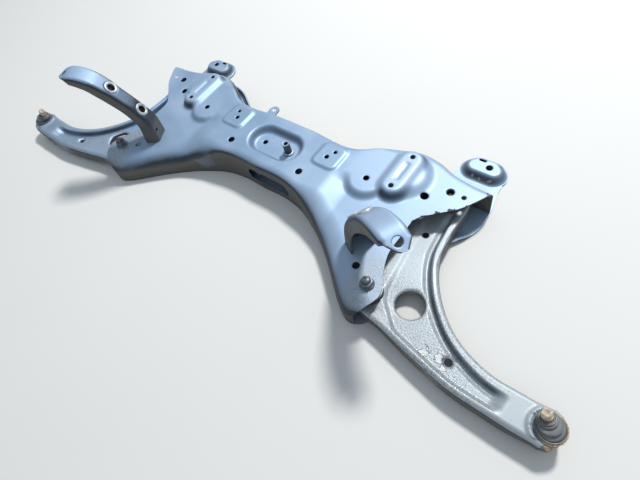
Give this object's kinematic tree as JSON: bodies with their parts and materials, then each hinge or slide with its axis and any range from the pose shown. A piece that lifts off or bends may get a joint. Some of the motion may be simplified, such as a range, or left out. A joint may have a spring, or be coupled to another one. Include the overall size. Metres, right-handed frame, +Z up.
{
  "type": "car front subframe with lower control arms",
  "caption": "Pressed-steel car front subframe with curved body horns, domed rear mounts and swinging lower control arms that end in ball joints under ringed rubber boots.",
  "frame": {"origin": "on the ground in the middle plane, level with the holes of the round plateaus", "axes": "+X to the right-hand arm seen from in front, +Y to the rear of the car, +Z up"},
  "size_m": [1.367, 0.453, 0.2396],
  "materials": {
    "chassis_paint": "satin black paint that mirrors the sky",
    "arm_paint": "grainy satin black paint with small flakes missing",
    "plated_steel": "dull zinc plating",
    "rusty_steel": "bare steel with light rust",
    "rubber": "matt",
    "seat_plastic": "smooth"
  },
  "bodies": {
    "subframe": {"upper_shell": "chassis_paint", "lower_shell": "chassis_paint", "horn_left": "chassis_paint", "horn_right": "chassis_paint", "horn_sleeves_left": "plated_steel", "horn_sleeves_right": "plated_steel", "centre_sleeve": "chassis_paint", "rear_tab": "chassis_paint", "rear_mount_left": "chassis_paint", "rear_mount_right": "chassis_paint", "rack_weld_nuts": "plated_steel", "front_bush_core_left": "plated_steel", "front_bush_core_right": "plated_steel", "rear_bush_core_left": "plated_steel", "rear_bush_core_right": "plated_steel", "front_pivot_bolt_left": "plated_steel", "front_pivot_bolt_right": "plated_steel", "front_pivot_nut_left": "plated_steel", "front_pivot_nut_right": "plated_steel", "rear_pivot_bolt_left": "plated_steel", "rear_pivot_bolt_right": "plated_steel", "rear_pivot_nut_left": "plated_steel", "rear_pivot_nut_right": "plated_steel"},
    "arm_left": {"control_arm_left": "arm_paint", "front_bush_shell_left": "plated_steel", "front_bush_rubber_left": "rubber", "rear_bush_shell_left": "plated_steel", "rear_bush_rubber_left": "rubber", "ball_housing_left": "rusty_steel", "ball_seat_left": "seat_plastic", "dust_boot_left": "rubber", "boot_clips_left": "plated_steel"},
    "arm_right": {"control_arm_right": "arm_paint", "front_bush_shell_right": "plated_steel", "front_bush_rubber_right": "rubber", "rear_bush_shell_right": "plated_steel", "rear_bush_rubber_right": "rubber", "ball_housing_right": "rusty_steel", "ball_seat_right": "seat_plastic", "dust_boot_right": "rubber", "boot_clips_right": "plated_steel"},
    "stud_left": {"ball_stud_left": "rusty_steel"},
    "stud_right": {"ball_stud_right": "rusty_steel"}
  },
  "joints": [
    {"name": "arm_swing_left", "type": "hinge", "parent": "subframe", "child": "arm_left", "pos_m": [-0.34, -0.177, 0.035], "axis": [-0.109, 0.994, 0], "range_deg": [-12, 12], "stiffness_Nm_per_rad": 400},
    {"name": "stud_turn_left", "type": "hinge", "parent": "arm_left", "child": "stud_left", "pos_m": [-0.661, -0.217, 0.025], "axis": [0.3049, 0.1633, 0.9383], "continuous": true},
    {"name": "arm_swing_right", "type": "hinge", "parent": "subframe", "child": "arm_right", "pos_m": [0.34, -0.177, 0.035], "axis": [0.109, 0.994, 0], "range_deg": [-12, 12], "stiffness_Nm_per_rad": 400},
    {"name": "stud_turn_right", "type": "hinge", "parent": "arm_right", "child": "stud_right", "pos_m": [0.661, -0.217, 0.025], "axis": [-0.3049, 0.1633, 0.9383], "continuous": true}
  ]
}
